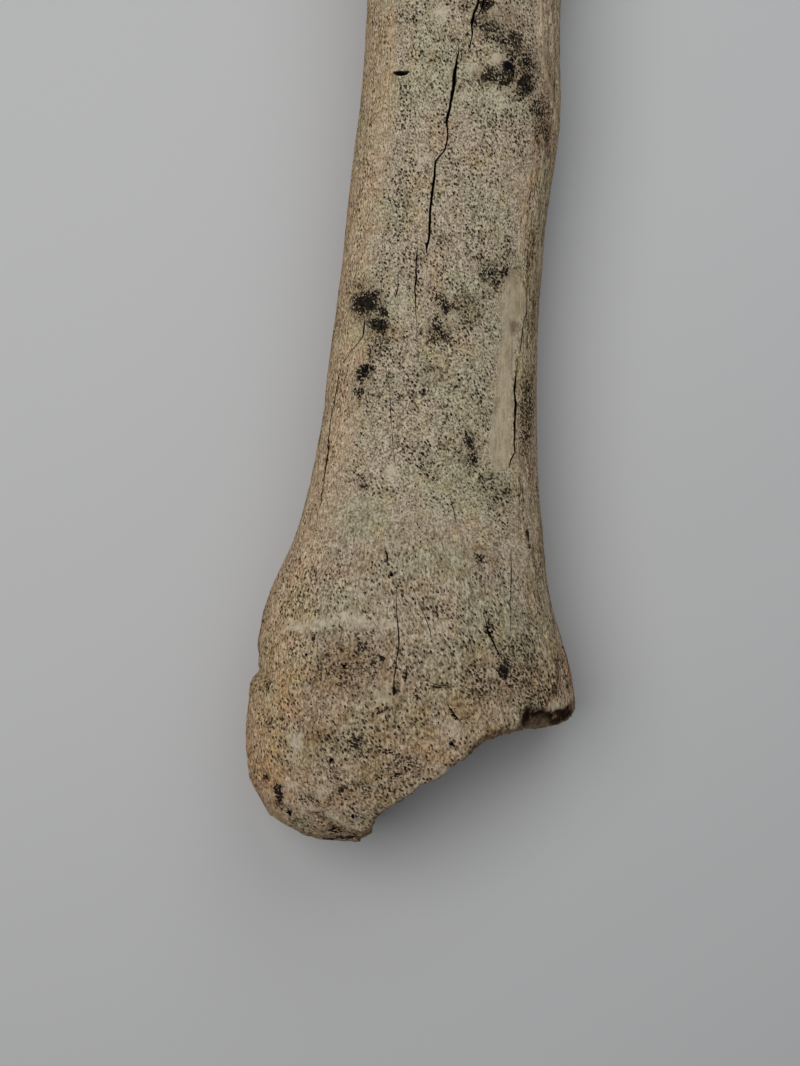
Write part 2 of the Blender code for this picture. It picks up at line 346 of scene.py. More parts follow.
jointSet = dict(
    roller=(161.2, 21.0, 22.4),                 # the dish's axis (along, up) and radius
    rollerSwells=[(-19.0, 13.0, 3.4), (16.0, 9.0, 1.7)],
    facet=((-22.5, -153.8, 13.5), (14.0, 12.0, 12.0)),
    reach=1.4,
)


def jointShare(places):
    along, up, radius = jointSet["roller"]
    surface = np.full(len(places), radius)
    for middle, halfWidth, height in jointSet["rollerSwells"]:
        surface += height * np.exp(-(((places[:, 0] - middle) / halfWidth) ** 2))
    off = np.hypot(places[:, 1] - along, places[:, 2] - up) - surface
    dish = 1.0 - smoothStep(jointSet["reach"] * 0.5, jointSet["reach"], np.abs(off))
    dish *= smoothStep(132.0, 135.0, places[:, 1])
    away = bowlReach(places, *jointSet["facet"])
    return np.maximum(dish, 1.0 - smoothStep(1.02, 1.1, away))


joint = jointShare(bonePlaces)
print("zones ready")


# Relief: everything that can be felt with a finger

reliefSet = dict(
    swells=(17.0, 0.30),                        # width of the swells, and height
    ridges=((2.4, 26.0, 2.4), 0.13),            # long low ridges along the fibres
    grit=(1.9, 0.07),
    lobeGrit=(2.3, 0.20),
    pits=(3.4, 0.30),
    endPits=(2.6, 0.42),
    fray=0.3,
    lines={              # path with half widths, height, how pale (above 0) or dark (below 0)
        "scar": ([(-30.8, -100.6, 0.3), (-29.4, -98.5, 0.5), (-28.0, -96.2, 1.0), (-26.5, -96.7, 1.1),
            (-23.9, -96.6, 1.1), (-21.3, -95.5, 0.9), (-19.1, -94.8, 1.2), (-16.8, -93.4, 1.4),
            (-14.3, -94.0, 1.1), (-11.3, -94.7, 0.9), (-7.4, -94.5, 0.7),
            (-3.5, -94.3, 0.4)], 0.22, 0.8),
        # painted shadow: the dark line under the scar
        "scarFoot": ([(-29.8, -100.6, 0.5), (-27.6, -98.6, 0.6), (-23.9, -98.7, 0.6),
            (-20.0, -97.4, 0.6), (-16.0, -96.3, 0.6), (-10.5, -96.5, 0.5)], -0.18, -0.35),
        # painted highlight: the ledge's lip is paler
        "ledge": ([(-29.6, -134.2, 0.5), (-26.0, -136.0, 0.8), (-22.3, -136.2, 0.8),
            (-18.1, -136.4, 0.7), (-14.9, -137.7, 0.6), (-12.1, -139.1, 0.5),
            (-9.0, -140.0, 0.4)], 0.40, 0.5),
        # painted shade: the fold and the pits by the ledge are darkened
        "fold": ([(-19.6, -137.6, 0.3), (-16.5, -139.0, 0.5), (-14.6, -140.6, 0.7),
            (-11.7, -142.1, 0.6), (-9.1, -143.0, 0.4)], -0.60, -0.9),
        "foldPits": ([(-28.6, -132.2, 0.3), (-27.5, -134.8, 0.5), (-26.0, -137.1, 0.4),
            (-24.6, -139.0, 0.4)], -0.45, -0.7),
        # painted highlight: these ribs are paler along their raised crests
        "outerRib": ([(16.0, 46.0, 0.3), (17.2, 39.3, 0.35), (17.9, 34.4, 0.4), (18.5, 30.1, 0.4),
            (19.9, 26.9, 0.4), (21.1, 22.9, 0.35), (22.2, 19.8, 0.2)], 0.20, 0.6),
        "edgeRib": ([(18.4, 46.0, 0.25), (19.6, 40.3, 0.3), (20.2, 35.3, 0.35), (21.5, 31.0, 0.3),
            (22.3, 26.6, 0.2)], 0.20, 0.4),
        "lowRib": ([(18.9, 15.5, 0.4), (19.7, 12.9, 0.6), (20.0, 9.4, 0.6),
            (20.1, 6.3, 0.4)], 0.18, 0.5),
    },
    scrape=[(15.2, -15.2, 0.3), (15.5, -17.5, 2.0), (15.6, -20.4, 2.9), (15.8, -22.6, 3.0),
            (15.7, -25.1, 2.5), (15.5, -28.5, 1.8), (15.2, -34.6, 2.1), (15.2, -38.3, 1.8),
            (15.0, -43.9, 2.1), (15.2, -49.3, 2.4), (15.2, -53.8, 2.8), (15.5, -56.3, 2.3),
            (17.4, -57.6, 0.4)],
    scrapeEdges=((0.55, 1.3), (0.9, 1.05)),     # from bare to whole, left and right of its middle
    scrapeDepth=0.20,
    # where the outline dips or bulges: place, reach across and along, and the move
    nudges=[(-36.6, -105.3, 4.5, 2.0, 0.9, 0.0), (-37.0, -108.3, 4.5, 1.5, 1.5, 0.0),
            (-34.5, -138.5, 4.0, 4.0, 0.75, 0.65), (-27.5, -143.8, 5.0, 4.0, 0.35, 0.75),
            (-14.0, -146.0, 5.5, 3.0, 0.1, 0.85), (-9.8, -146.2, 2.5, 2.5, 0.3, 0.7),
            (-7.2, -141.3, 2.2, 2.6, 0.9, -0.5), (12.2, -123.1, 3.0, 3.0, 0.5, -0.65),
            (23.0, -116.4, 4.0, 3.0, 0.2, -0.9), (27.7, -114.2, 2.5, 4.0, 0.1, -2.0),
            (31.5, -113.9, 2.5, 4.0, 0.1, -1.4), (35.3, -112.2, 2.5, 3.5, 0.6, -0.9)],
    seed=5,
)


def lineShare(places, name):
    path, height, shade = reliefSet["lines"][name]
    reach = pathReach(places, path) + readNoise(places, 1.1, reliefSet["seed"] + 6, 2) * reliefSet["fray"]
    return np.exp(-(reach ** 2)) * frontShare


def reliefHeights(places, grain):
    seed = reliefSet["seed"]
    smooth = 1.0 - 0.85 * joint
    ends = smoothStep(*zoneSet["ends"], np.abs(places[:, 1] - zoneSet["middle"]))
    lobe = smoothStep(*zoneSet["lobeRelief"], places[:, 1])

    def swells(name, spots, offset, stretch=1.0, octaves=3):
        size, height = reliefSet[name]
        return readNoise(spots, np.multiply(size, (1.0, stretch, 1.0)), seed + offset, octaves) * height

    def pits(name, spots, offset, stretch, low, high):
        size, depth = reliefSet[name]
        near, second = readCells(spots, (size, size * stretch, size), seed + offset)
        return depth * (1.0 - smoothStep(low, high, near)) * smooth

    rise = swells("swells", places, 0, octaves=2)
    rise += swells("ridges", grain, 1) * smooth * (1.6 - 0.8 * frontShare)
    rise += swells("grit", grain, 2, stretch=2.0) * smooth
    rise += swells("lobeGrit", places, 3) * smooth * np.maximum(lobe, ends * 0.5)
    rise -= pits("pits", grain, 4, 1.6, 0.10, 0.26)
    rise -= pits("endPits", places, 5, 1.0, 0.14, 0.34) * ends
    for name, (path, height, shade) in reliefSet["lines"].items():
        rise += lines[name] * height
    return rise - reliefSet["scrapeDepth"] * scraped


def scrapedShare(places):
    # soft along its left edge, sharp along its right one, where the surface above it has split away
    path = np.array(reliefSet["scrape"])
    reach = pathReach(places, path) + readNoise(places, (0.9, 5.0, 2.0), 31, 3) * 0.35
    rightOf = places[:, 0] > np.interp(places[:, 1], path[::-1, 1], path[::-1, 0])
    low, high = (np.where(rightOf, right, left) for left, right in zip(*reliefSet["scrapeEdges"]))
    return (1.0 - smoothStep(low, high, reach)) * frontShare


def raiseRelief():
    rise = reliefHeights(bonePlaces, grain) * (1.0 - broken)
    places = bonePlaces + boneNormals * rise[:, None]
    near, second = readCells(bonePlaces, breakSet["cell"], breakSet["seed"])
    pores = smoothStep(0.02, 0.36, second - near) * breakSet["depth"]
    crumbs = readNoise(bonePlaces, 1.3, breakSet["seed"] + 1) * 0.4
    sink = (pores + 0.3) * sponge * broken + crumbs * broken
    places -= boneNormals * sink[:, None]
    places[:, 2] -= rimDepth * (1.0 + readNoise(bonePlaces, 1.7, breakSet["seed"] + 2, 2) * 0.5)
    for x, y, reachX, reachY, moveX, moveY in reliefSet["nudges"]:
        pull = np.exp(-(((bonePlaces[:, 0] - x) / reachX) ** 2) - ((bonePlaces[:, 1] - y) / reachY) ** 2)
        places[:, 0] += pull * moveX
        places[:, 1] += pull * moveY
    low, high = (np.array(corner) / mm for corner in cadBox)
    setPlaces(bone.data, np.clip(places, low, high))
    return pores


lines = {name: lineShare(bonePlaces, name) for name in reliefSet["lines"]}
scraped = scrapedShare(bonePlaces)
spongePores = raiseRelief()
print("relief ready")


# Cracks and holes, cut into the surface: place on the bone, and width there

cutSet = dict(
    deep={
        "long": [(-1, 32.9, 0.15), (-0.7, 31, 0.31), (-1, 29.2, 0.51), (-1.1, 27.3, 0.86),
            (-1.2, 25.3, 1.17), (-1.3, 23.1, 1.01), (-1.5, 20.9, 0.77), (-1.7, 18.6, 0.72),
            (-2, 17.1, 0.81), (-2, 14.9, 0.51), (-1.7, 13.1, 0.46), (-1.7, 11.1, 0.46), (-2.1, 9.6, 0.51),
            (-3, 8.4, 0.46), (-3.8, 7.3, 0.46), (-3.9, 6.4, 0.61), (-3.9, 3.6, 0.72), (-4.2, -3, 0.66),
            (-4, -6.7, 0.72), (-4.1, -9.2, 0.66), (-4.2, -12, 0.55), (-4.3, -13, 0.15)],
        "top": [(6, 74, 0.27), (5.5, 64, 0.54), (4.6, 54, 0.61), (3.4, 47, 0.54), (2.8, 43.9, 0.46),
            (2.5, 41.7, 0.72), (2, 39.9, 0.77), (1.7, 38.3, 0.77), (1.7, 36.7, 0.51), (2, 35, 0.51),
            (1.8, 33.6, 0.41), (1.4, 31, 0.15)],
    },
    hairlines={
        "topTwin": [(3.8, 42.7, 0.46), (3.5, 41, 0.46), (3, 39.6, 0.31), (2.6, 39, 0.15)],
        "twin": [(-0.1, 31.6, 0.1), (-0.05, 29.6, 0.2), (-0.25, 28.7, 0.1)],
        "second": [(-6.3, -11.7, 0.11), (-6.4, -13.4, 0.41), (-6.4, -16, 0.46), (-6.1, -18.2, 0.51),
            (-6.1, -20.7, 0.46), (-6, -22.7, 0.35), (-5.7, -25.4, 0.26), (-5.3, -28, 0.15),
            (-4.9, -31.6, 0.11), (-4.2, -36.5, 0.11)],
        "shade": [(-4.1, -14.1, 0.11), (-4, -15.9, 0.15), (-3.7, -18.8, 0.11)],
        "short": [(-10, -17.2, 0.11), (-10, -19.9, 0.26), (-10.2, -22.4, 0.41), (-10.2, -23.2, 0.15)],
        "leftUpper": [(-16.9, -27.4, 0.2), (-16.7, -30.3, 0.46), (-16.6, -31.7, 0.31), (-18, -33.6, 0.2),
            (-19.5, -35.5, 0.2), (-20.4, -37.2, 0.15)],
        "leftLower": [(-21.1, -39.2, 0.15), (-21.7, -40.8, 0.26), (-21.9, -43.8, 0.31),
            (-22.1, -46.8, 0.26), (-22.6, -49.4, 0.26), (-22.8, -53.9, 0.31), (-22.6, -58, 0.35),
            (-22.9, -61.3, 0.35), (-23.1, -65.4, 0.26), (-23.3, -69.2, 0.2), (-23.8, -72.2, 0.15),
            (-23.8, -74.7, 0.11)],
        "leftThird": [(-21, -45.3, 0.11), (-20.7, -48.3, 0.15), (-20.6, -52, 0.11)],
        "middle": [(-10.2, -42, 0.11), (-9.4, -47.8, 0.26), (-8.9, -51.4, 0.15), (-8.4, -55, 0.2),
            (-7.7, -58.6, 0.2), (-7.4, -60.4, 0.11)],
        "middleLow": [(4.8, -65.6, 0.11), (5.5, -67, 0.2), (6.6, -70.7, 0.26), (6.9, -71.4, 0.11)],
        "scrapeEdge": [(17.8, -34.4, 0.15), (17.7, -37.2, 0.26), (17.6, -39.1, 0.61), (17.6, -41.7, 0.61),
            (18.1, -44.2, 0.72), (18.1, -46.4, 0.72), (18.2, -49, 0.61), (18.3, -52, 0.41),
            (18.7, -54.9, 0.41), (17.9, -56.4, 0.46), (17.6, -58.3, 0.15)],
        "scrapeTop": [(18.7, -19.8, 0.1), (18.9, -23.5, 0.26), (18.5, -25.4, 0.2), (18.3, -28.6, 0.35),
            (18.2, -31.6, 0.3), (18.1, -32.8, 0.1)],
        "low": [(-8.5, -77.7, 0.2), (-7.6, -79.6, 0.41), (-7.3, -81.8, 0.2)],
        "lobe": [(-5.1, -86.4, 0.14), (-4.6, -92, 0.27), (-3.8, -96.2, 0.41), (-3.5, -98.6, 0.41),
            (-3.9, -102, 0.27), (-4, -106.9, 0.41), (-3.8, -109.7, 0.27)],
        "lobeTwo": [(-1.5, -103.3, 0.14), (-1.5, -105.2, 0.41), (-1.7, -107.2, 0.14)],
        "lobeRight": [(-1.2, -86.9, 0.14), (0.8, -90.6, 0.2), (2.8, -94.8, 0.27), (3.3, -96.7, 0.14)],
        "corner": [(7.6, -110.1, 0.14), (8.7, -111.8, 0.41), (10.3, -113.5, 0.34), (11.1, -114.2, 0.14)],
        "cross": [(2.4, -105.2, 0.14), (4.2, -106.3, 0.2), (6.2, -106.8, 0.27), (8.3, -106.3, 0.14)],
        "right": [(19.4, -76.1, 0.14), (19.8, -81.9, 0.27), (20, -86.8, 0.27), (20.2, -90.2, 0.2),
            (20.7, -95.5, 0.14)],
        "rightTwo": [(14.2, -90.6, 0.14), (15.4, -93.9, 0.41), (16.6, -96.2, 0.55), (18.5, -99.5, 0.27)],
        "knob": [(-6, 96, 0.11), (-7.4, 88, 0.27), (-6.6, 80, 0.34), (-8, 70, 0.11)],
        "topRight": [(12, 92, 0.11), (12.8, 82, 0.3), (11.9, 70, 0.27), (12.6, 60, 0.11)],
    },
    backLines={
        "backLong": [(4, 62, 0.1), (3.1, 45, 0.3), (4.4, 24, 0.35), (3.6, 4, 0.25), (4.8, -14, 0.1)],
        "backShort": [(-9, -22, 0.1), (-8.2, -38, 0.3), (-9.4, -57, 0.25), (-8.6, -70, 0.1)],
        "backUpper": [(14, 104, 0.1), (12.8, 90, 0.3), (13.6, 74, 0.2), (12.4, 62, 0.1)],
    },
    step=0.7,            # between a crack's points once its wobble is added
    wobble=0.12,
    top=50.0,            # above the whole bone
    overlap=0.9,         # how far a blade stands out of the surface
    bite=(0.6, 3.6),     # how deep it goes: at least, and for each millimetre of width
    floorWidth=0.35,     # its width at the bottom, as a share of the width on top
    nick=(-12.9, 26.5, 1.85, 1.15, 1.6),         # place, half width, height, depth
    holes=[(-10.7, -137.1, 0.35), (-6.4, -83.7, 0.3), (9.5, -119.2, 0.25), (-16.3, -124.8, 0.3),
           (-24.8, -138.6, 0.3), (-15.1, -104.2, 0.3), (-23.5, -102.6, 0.25)],
    backHoles=[(-3.0, 34.0, 1.0), (9.0, 96.0, 0.6), (-12.0, 108.0, 0.7), (2.0, -98.0, 0.6)],
    holeDepth=1.8,
    holeSides=14,
    seed=11,
)


def surfaceHeight(tree, x, y, side):
    # the surface's height at a place on the front (side 1) or the back (side -1)
    hit = tree.ray_cast(Vector((x, y, side * cutSet["top"])) * mm, Vector((0.0, 0.0, -side)))
    return hit[0].z / mm


def finerPath(path, seed):
    path = np.array(path)
    run = np.append(0.0, np.cumsum(np.linalg.norm(np.diff(path[:, :2], axis=0), axis=1)))
    stops = np.linspace(0.0, run[-1], max(int(run[-1] / cutSet["step"]), 4))
    fine = np.stack([np.interp(stops, run, path[:, axis]) for axis in range(3)], axis=1)
    for index, stop in enumerate(stops):
        fine[index, 0] += noise.noise(Vector((stop / 2.6, seed, 0.0))) * cutSet["wobble"] * 2.0
        fine[index, 0] += noise.noise(Vector((stop / 0.9, seed, 5.0))) * cutSet["wobble"]
        fine[index, 2] *= 1.0 + noise.noise(Vector((stop / 1.7, seed, 9.0))) * 0.5
    return fine


def addBlade(bm, tree, path, seed, side=1.0):
    # a wedge that follows the crack and narrows as it goes into the bone
    fine = finerPath(path, seed)
    least, gain = cutSet["bite"]
    rings = []
    for index, (x, y, width) in enumerate(fine):
        before, after = fine[max(index - 1, 0)], fine[min(index + 1, len(fine) - 1)]
        along = Vector((after[0] - before[0], after[1] - before[1], 0.0)).normalized()
        aside = Vector((-along.y, along.x, 0.0)) * width / 2.0
        middle = Vector((x, y, 0.0))
        surface = surfaceHeight(tree, x, y, side)
        outer, inner = surface + side * cutSet["overlap"], surface - side * (least + gain * width)
        below = aside * cutSet["floorWidth"]
        corners = [(middle - aside, outer), (middle + aside, outer), (middle + below, inner),
                   (middle - below, inner)]
        verts = [bm.verts.new((spot.x * mm, spot.y * mm, level * mm)) for spot, level in corners]
        rings.append([bm.edges.new((verts[corner - 1], verts[corner])) for corner in range(4)])
    for first, second in zip(rings, rings[1:]):
        bmesh.ops.bridge_loops(bm, edges=first + second)
    for end in (rings[0], rings[-1]):
        bmesh.ops.contextual_create(bm, geom=end)


def addPlug(bm, tree, x, y, radii, depth, side=1.0, flat=1.0):
    ring = bmesh.ops.create_circle(bm, cap_ends=True, radius=1.0, segments=cutSet["holeSides"])["verts"]
    for vert in ring:
        if vert.co.y > 0.0:
            vert.co.y *= flat
    bmesh.ops.scale(bm, vec=(radii[0] * mm, radii[1] * mm, 1.0), verts=ring)
    floor = surfaceHeight(tree, x, y, side) - side * depth
    bmesh.ops.translate(bm, vec=Vector((x, y, floor)) * mm, verts=ring)
    base = [face for face in ring[0].link_faces]
    grown = bmesh.ops.extrude_face_region(bm, geom=base, use_keep_orig=True)["geom"]
    for vert in [part for part in grown if isinstance(part, bmesh.types.BMVert)]:
        vert.co.z = side * cutSet["top"] * mm


def cutBone():
    shape = bmesh.new()
    shape.from_mesh(bone.data)
    tree = BVHTree.FromBMesh(shape)
    shape.free()
    bm = bmesh.new()
    seed = cutSet["seed"]
    for group, side in (("deep", 1.0), ("hairlines", 1.0), ("backLines", -1.0)):
        for path in cutSet[group].values():
            addBlade(bm, tree, path, seed, side)
            seed += 1
    x, y, halfWidth, height, depth = cutSet["nick"]
    addPlug(bm, tree, x, y, (halfWidth, height), depth, flat=0.06)
    for group, side in (("holes", 1.0), ("backHoles", -1.0)):
        for x, y, radius in cutSet[group]:
            addPlug(bm, tree, x, y, (radius, radius * 1.3), cutSet["holeDepth"], side)
    bmesh.ops.triangulate(bm, faces=bm.faces)
    bmesh.ops.recalc_face_normals(bm, faces=bm.faces)
    mesh = bpy.data.meshes.new("blades")
    bm.to_mesh(mesh)
    bm.free()
    blades = addObject("blades", mesh)
    removal = bone.modifiers.new("cracks", "BOOLEAN")
    removal.operation = "DIFFERENCE"
    removal.solver = "EXACT"
    removal.object = blades
    bakeModifiers(bone)
    bpy.data.objects.remove(blades, do_unlink=True)
    return tree


uncutPlaces = meshPlaces(bone.data)
uncutTree = cutBone()
print("cracks cut:", len(bone.data.vertices), "points,", len(bone.data.polygons), "faces")
finalPlaces = meshPlaces(bone.data)


# Marks: stains, black spots, brown haze and pale chips, as x, y, half width, half length,
# strength and, where it lies askew, its turn in degrees

markSet = dict(
    stain=[
        (0.4, 41.1, 1.4, 1.1, 0.8), (4.7, 41.9, 2.3, 1.7, 1), (2.2, 37.5, 1.1, 0.9, 0.95),
        (5.5, 36.9, 3.2, 1.2, 0.85), (0.8, 34.6, 0.8, 0.8, 0.95), (-1.9, 34, 1.5, 0.8, 0.75),
        (-4.5, 34.9, 1.3, 0.6, 0.6), (-0.2, 31, 0.5, 1.3, 0.7), (7.1, 34.4, 3.8, 1.5, 0.8),
        (11.3, 35, 1.8, 2.5, 0.95), (10.4, 28.9, 1.7, 1.7, 1), (6.5, 26.8, 2.8, 2.1, 0.9, -20),
        (9.6, 24.9, 1.7, 1, 1), (14.6, 25.5, 2.1, 3.2, 0.85, 10), (18.1, 21.9, 2.3, 2.8, 0.75, 15),
        (19.8, 16.9, 2.1, 2.6, 0.75), (14.5, 30.4, 2.4, 2.5, 0.75), (10.3, 26.6, 2, 1.9, 0.95),
        (11.1, 31.8, 1.6, 2.1, 0.8), (18.7, 20.2, 2.6, 6.5, 0.6, 12), (17.5, 28.5, 2.2, 4.5, 0.45, 5),
        (19.6, 11.8, 2.3, 4.1, 0.45), (0.4, 23.5, 0.5, 1.2, 0.95), (-0.6, 19.8, 0.5, 0.5, 0.9),
        (-1.9, 17.9, 0.6, 0.7, 0.9), (-2.6, 15.8, 0.5, 0.5, 0.8), (1.9, 24.9, 2.2, 1, 0.6),
        (-12.8, 37, 3.2, 2.8, 0.3), (-7, 29.4, 2.6, 1.7, 0.33), (0.3, 15, 1.5, 0.8, 0.35),
        (15.8, 33.8, 1.5, 3, 0.5), (-17.6, -19.7, 1.5, 0.8, 0.6), (-17, -24.6, 3.2, 2.8, 1),
        (-15.6, -22.6, 1.7, 1.3, 0.95), (-12.7, -26.5, 1.3, 1.3, 1), (-17.2, -21.2, 2.9, 2.2, 0.6),
        (-17.2, -27.2, 2.5, 1.6, 0.6), (-13.7, -29.2, 2.8, 1.7, 1), (-12.8, -30.8, 1.4, 0.9, 0.95),
        (-12.6, -33.3, 2.3, 1.6, 0.7), (-14.6, -35.6, 2.3, 1.6, 0.65), (-2.3, -21.1, 1.7, 0.8, 0.75),
        (-0.9, -22.9, 1.7, 2.1, 0.85, 25), (1.1, -24.4, 1.6, 1.6, 0.9), (5.2, -23.9, 4.2, 3.1, 0.55),
        (6.2, -27.5, 2.3, 1.2, 0.65), (-0.6, -28.1, 1.6, 2, 0.9), (0.8, -30.3, 2, 1.6, 0.8),
        (-1.4, -31.8, 1.6, 1.6, 0.8), (-4.5, -30.2, 0.9, 0.9, 0.7), (7.4, -14.4, 3.1, 2, 0.55),
        (10.1, -16.1, 2.7, 2.3, 0.75), (13.4, -15.3, 1.2, 1.2, 1), (11.5, -18.3, 1.6, 1.6, 0.8),
        (13.5, -11.3, 1.2, 2, 0.65), (13.9, -8, 1.3, 1.3, 0.45), (-0.6, -10.3, 2.3, 1.6, 0.55),
        (16.1, -14.5, 1, 1, 0.55), (-7, -17.8, 0.3, 0.5, 1), (19.1, -9.4, 1.7, 7.5, 0.4),
        (20.6, -21.5, 1.6, 8.3, 0.5), (-16.2, -39.9, 1.7, 2.7, 1, 10), (-14, -38.9, 0.8, 1.4, 1),
        (-16.8, -44.2, 1.6, 2, 0.85), (-10.4, -40.7, 0.8, 1.6, 0.8), (-2.7, -43.3, 0.8, 0.9, 1),
        (-4.4, -39.8, 1.3, 0.8, 0.85), (-4.8, -44.3, 0.8, 0.8, 0.6), (-12.1, -44.7, 0.8, 1.6, 0.75),
        (-16.6, -46.8, 0.7, 1, 0.7), (-15.1, -46.7, 0.6, 0.8, 0.7), (-18.4, -48.7, 0.8, 1.3, 0.6),
        (-9.3, -47.8, 0.5, 0.6, 1), (-7.7, -45.2, 1.1, 1.1, 0.6), (8.3, -53.8, 1.4, 2, 0.85),
        (9.3, -57.4, 1.6, 2, 0.9), (5.9, -55.8, 1.1, 1, 0.7), (2.5, -54.2, 1.3, 1.3, 0.55),
        (7.4, -51.6, 1, 1.1, 0.65), (8.4, -59.9, 1.2, 1, 0.6), (11.6, -61.1, 0.8, 1.2, 0.85),
        (13.8, -60.6, 0.8, 0.9, 0.8), (13.8, -63.1, 0.9, 0.9, 0.7), (17.2, -63.5, 0.8, 1.2, 0.9),
        (15.1, -65.7, 1.7, 1.7, 0.55), (-14.1, -65, 1.1, 1.6, 0.9), (-14.6, -62.8, 0.8, 1.1, 0.75),
        (6.4, -62.7, 0.9, 0.9, 0.55), (20.2, -63.6, 1.1, 1.5, 0.55), (20.7, -46.1, 2.1, 10.9, 0.72),
        (-2.4, -56.7, 3.4, 2.3, 0.3), (0.8, -60.1, 2.3, 1.5, 0.4), (-7.8, -80.1, 0.5, 2.5, 0.7),
        (12.3, -78.7, 1.4, 1.4, 0.8), (16, -75.4, 0.7, 1.2, 0.6), (14.6, -90.1, 0.7, 1.1, 0.9),
        (15.9, -93.9, 1.1, 2.8, 0.9, -20), (19.6, -103, 1.5, 1.7, 0.9), (22.8, -103.7, 0.6, 1.1, 0.7),
        (-8.8, -101.2, 1.7, 1.1, 0.5), (-6.8, -101.7, 1.2, 0.5, 0.9, -30), (-11.5, -92.3, 0.7, 0.6, 0.9),
        (-22.2, -98.8, 0.6, 0.6, 0.85), (-15.1, -104.2, 0.7, 0.6, 0.9), (-32, -110.7, 1, 1.6, 0.55),
        (-3.8, -108.9, 1.1, 0.8, 0.9), (1.1, -109.2, 0.8, 0.8, 0.85), (-1.5, -104.7, 0.5, 2.1, 0.75),
        (5.9, -106.7, 2.1, 0.5, 0.6), (9.4, -112.7, 0.5, 1.5, 0.85, -35), (13.8, -105.6, 3, 4.6, 0.4, -15),
        (22.4, -101.2, 5.1, 7.1, 0.45, -15), (27.4, -107.8, 4.6, 3, 0.4), (-13.4, -103.8, 7.6, 5.6, 0.3),
        (33, -99.2, 1, 3, 0.5), (-11.6, -99.5, 1.1, 1.1, 0.6), (14.1, -83.3, 4.1, 5.6, 0.3),
        (-16.3, -124.8, 0.5, 0.4, 1), (-19.8, -119.5, 0.7, 0.6, 0.9), (-5.3, -127.7, 0.7, 0.6, 0.85),
        (-1.9, -126.8, 0.7, 0.5, 0.85), (-11.4, -120.6, 1.8, 1.5, 0.55), (-5, -121.7, 2.2, 0.7, 0.65, 20),
        (9.5, -119.2, 0.6, 0.6, 1), (-13.3, -131, 1.4, 0.6, 0.6), (-27.6, -134.2, 0.9, 2.7, 0.9, -10),
        (-24.8, -138.1, 0.5, 0.9, 0.95), (-30.7, -130.9, 0.8, 1.1, 0.65), (-30.7, -118.3, 0.7, 1, 0.5),
        (-31.6, -111, 0.7, 1.6, 0.65), (-14.5, -141.1, 1.6, 0.6, 1, -15),
        (-11.9, -142.6, 2.8, 0.5, 0.85, -10), (-15.5, -143.9, 2.1, 0.3, 0.9),
        (-0.8, -125.2, 5.7, 3.1, 0.35), (-21.3, -134.8, 4.7, 1.6, 0.35, -20),
        (-5.9, -130.2, 6.3, 2.6, 0.3)],
    soot=[
        (4.3, 42, 1.1, 0.8, 0.7), (10.3, 29.2, 1.3, 1.3, 1), (11.7, 28, 0.9, 0.7, 0.8),
        (14.6, 25.8, 1.7, 2.8, 0.72, 10), (13.8, 23.1, 1.1, 1.3, 0.55), (17.2, 21.7, 1.3, 2.3, 0.45, 10),
        (1.8, 39.1, 0.5, 0.8, 0.8), (14.5, 30.6, 1.7, 1.9, 0.4), (-0.9, 24.6, 0.3, 1.5, 0.7),
        (-16.8, -24.6, 2, 1.7, 0.78), (-15.3, -23, 0.8, 0.8, 0.8), (-12.8, -26.6, 0.8, 0.8, 0.8),
        (-13.5, -29.2, 1.5, 0.8, 0.8), (-16.2, -29.6, 0.5, 0.8, 0.8), (0.5, -24.6, 0.6, 0.8, 0.5),
        (13.6, -15.3, 0.5, 0.6, 0.7), (-15.9, -39.3, 0.8, 1.5, 0.85, 10), (-14, -39, 0.5, 0.9, 0.85),
        (-16.5, -44.3, 0.6, 1.1, 0.6), (-9.2, -47.8, 0.4, 0.5, 0.8), (-2.7, -43.3, 0.5, 0.5, 0.7),
        (9.3, -57.6, 0.7, 0.8, 0.6), (23, -72.3, 0.6, 2.1, 1, -10), (-6.4, -83.7, 0.8, 0.7, 1),
        (23.5, -75.3, 0.4, 1.2, 1), (19.9, -100.8, 1.1, 1.3, 0.85), (19.3, -102.8, 0.7, 1.1, 0.6),
        (31.7, -106.3, 1.3, 2, 0.85, -15), (-8.7, -102.8, 0.8, 0.6, 1), (-6.8, -101.8, 0.8, 0.3, 0.8, -30),
        (-23.5, -102.6, 0.2, 0.5, 1), (14.9, -90.1, 0.3, 0.5, 0.8), (12.3, -78.8, 0.7, 0.6, 0.5),
        (16, -95, 0.4, 1.3, 0.8, -20), (-3.8, -109, 0.5, 0.4, 0.7), (1, -109.2, 0.5, 0.4, 0.7),
        (-10.8, -136.6, 0.5, 0.5, 1), (-10.4, -137.7, 0.4, 0.7, 1), (-11.3, -137.2, 0.4, 0.3, 0.9),
        (-16.3, -124.8, 0.3, 0.3, 0.9), (9.5, -119.2, 0.3, 0.3, 0.9), (-5.3, -127.8, 0.3, 0.4, 0.8),
        (-1.9, -126.8, 0.5, 0.3, 0.8), (-24.8, -138.9, 0.3, 0.4, 0.9)],
    haze=[
        (6.5, 38.3, 5.7, 4.1, 0.8), (12.8, 28.8, 5.3, 6.4, 0.85), (19.1, 17.8, 2.6, 5.7, 0.8),
        (19.6, 29, 2.2, 8, 0.6), (-0.2, 30.5, 1.5, 1.9, 0.5), (0.4, 40.9, 1.9, 1.7, 0.6),
        (5.6, 26.7, 3.4, 2.3, 0.7), (-16.6, -25.5, 4.5, 4.1, 0.75), (-13.2, -30.2, 3.4, 2.6, 0.7),
        (5.2, -23.9, 4.5, 3.4, 0.6), (-0.2, -28.7, 3.4, 3.4, 0.6), (11.2, -15.9, 4.5, 3, 0.5),
        (16.3, -27.1, 1.2, 1.6, 0.9), (-4.7, -14.1, 1.1, 1.3, 0.7), (-16.4, -41.5, 3, 4.1, 0.55),
        (-0.9, -39.5, 4.1, 3, 0.5), (8.8, -55.8, 3, 4.1, 0.5), (20.6, -46.8, 2.3, 11.3, 0.6),
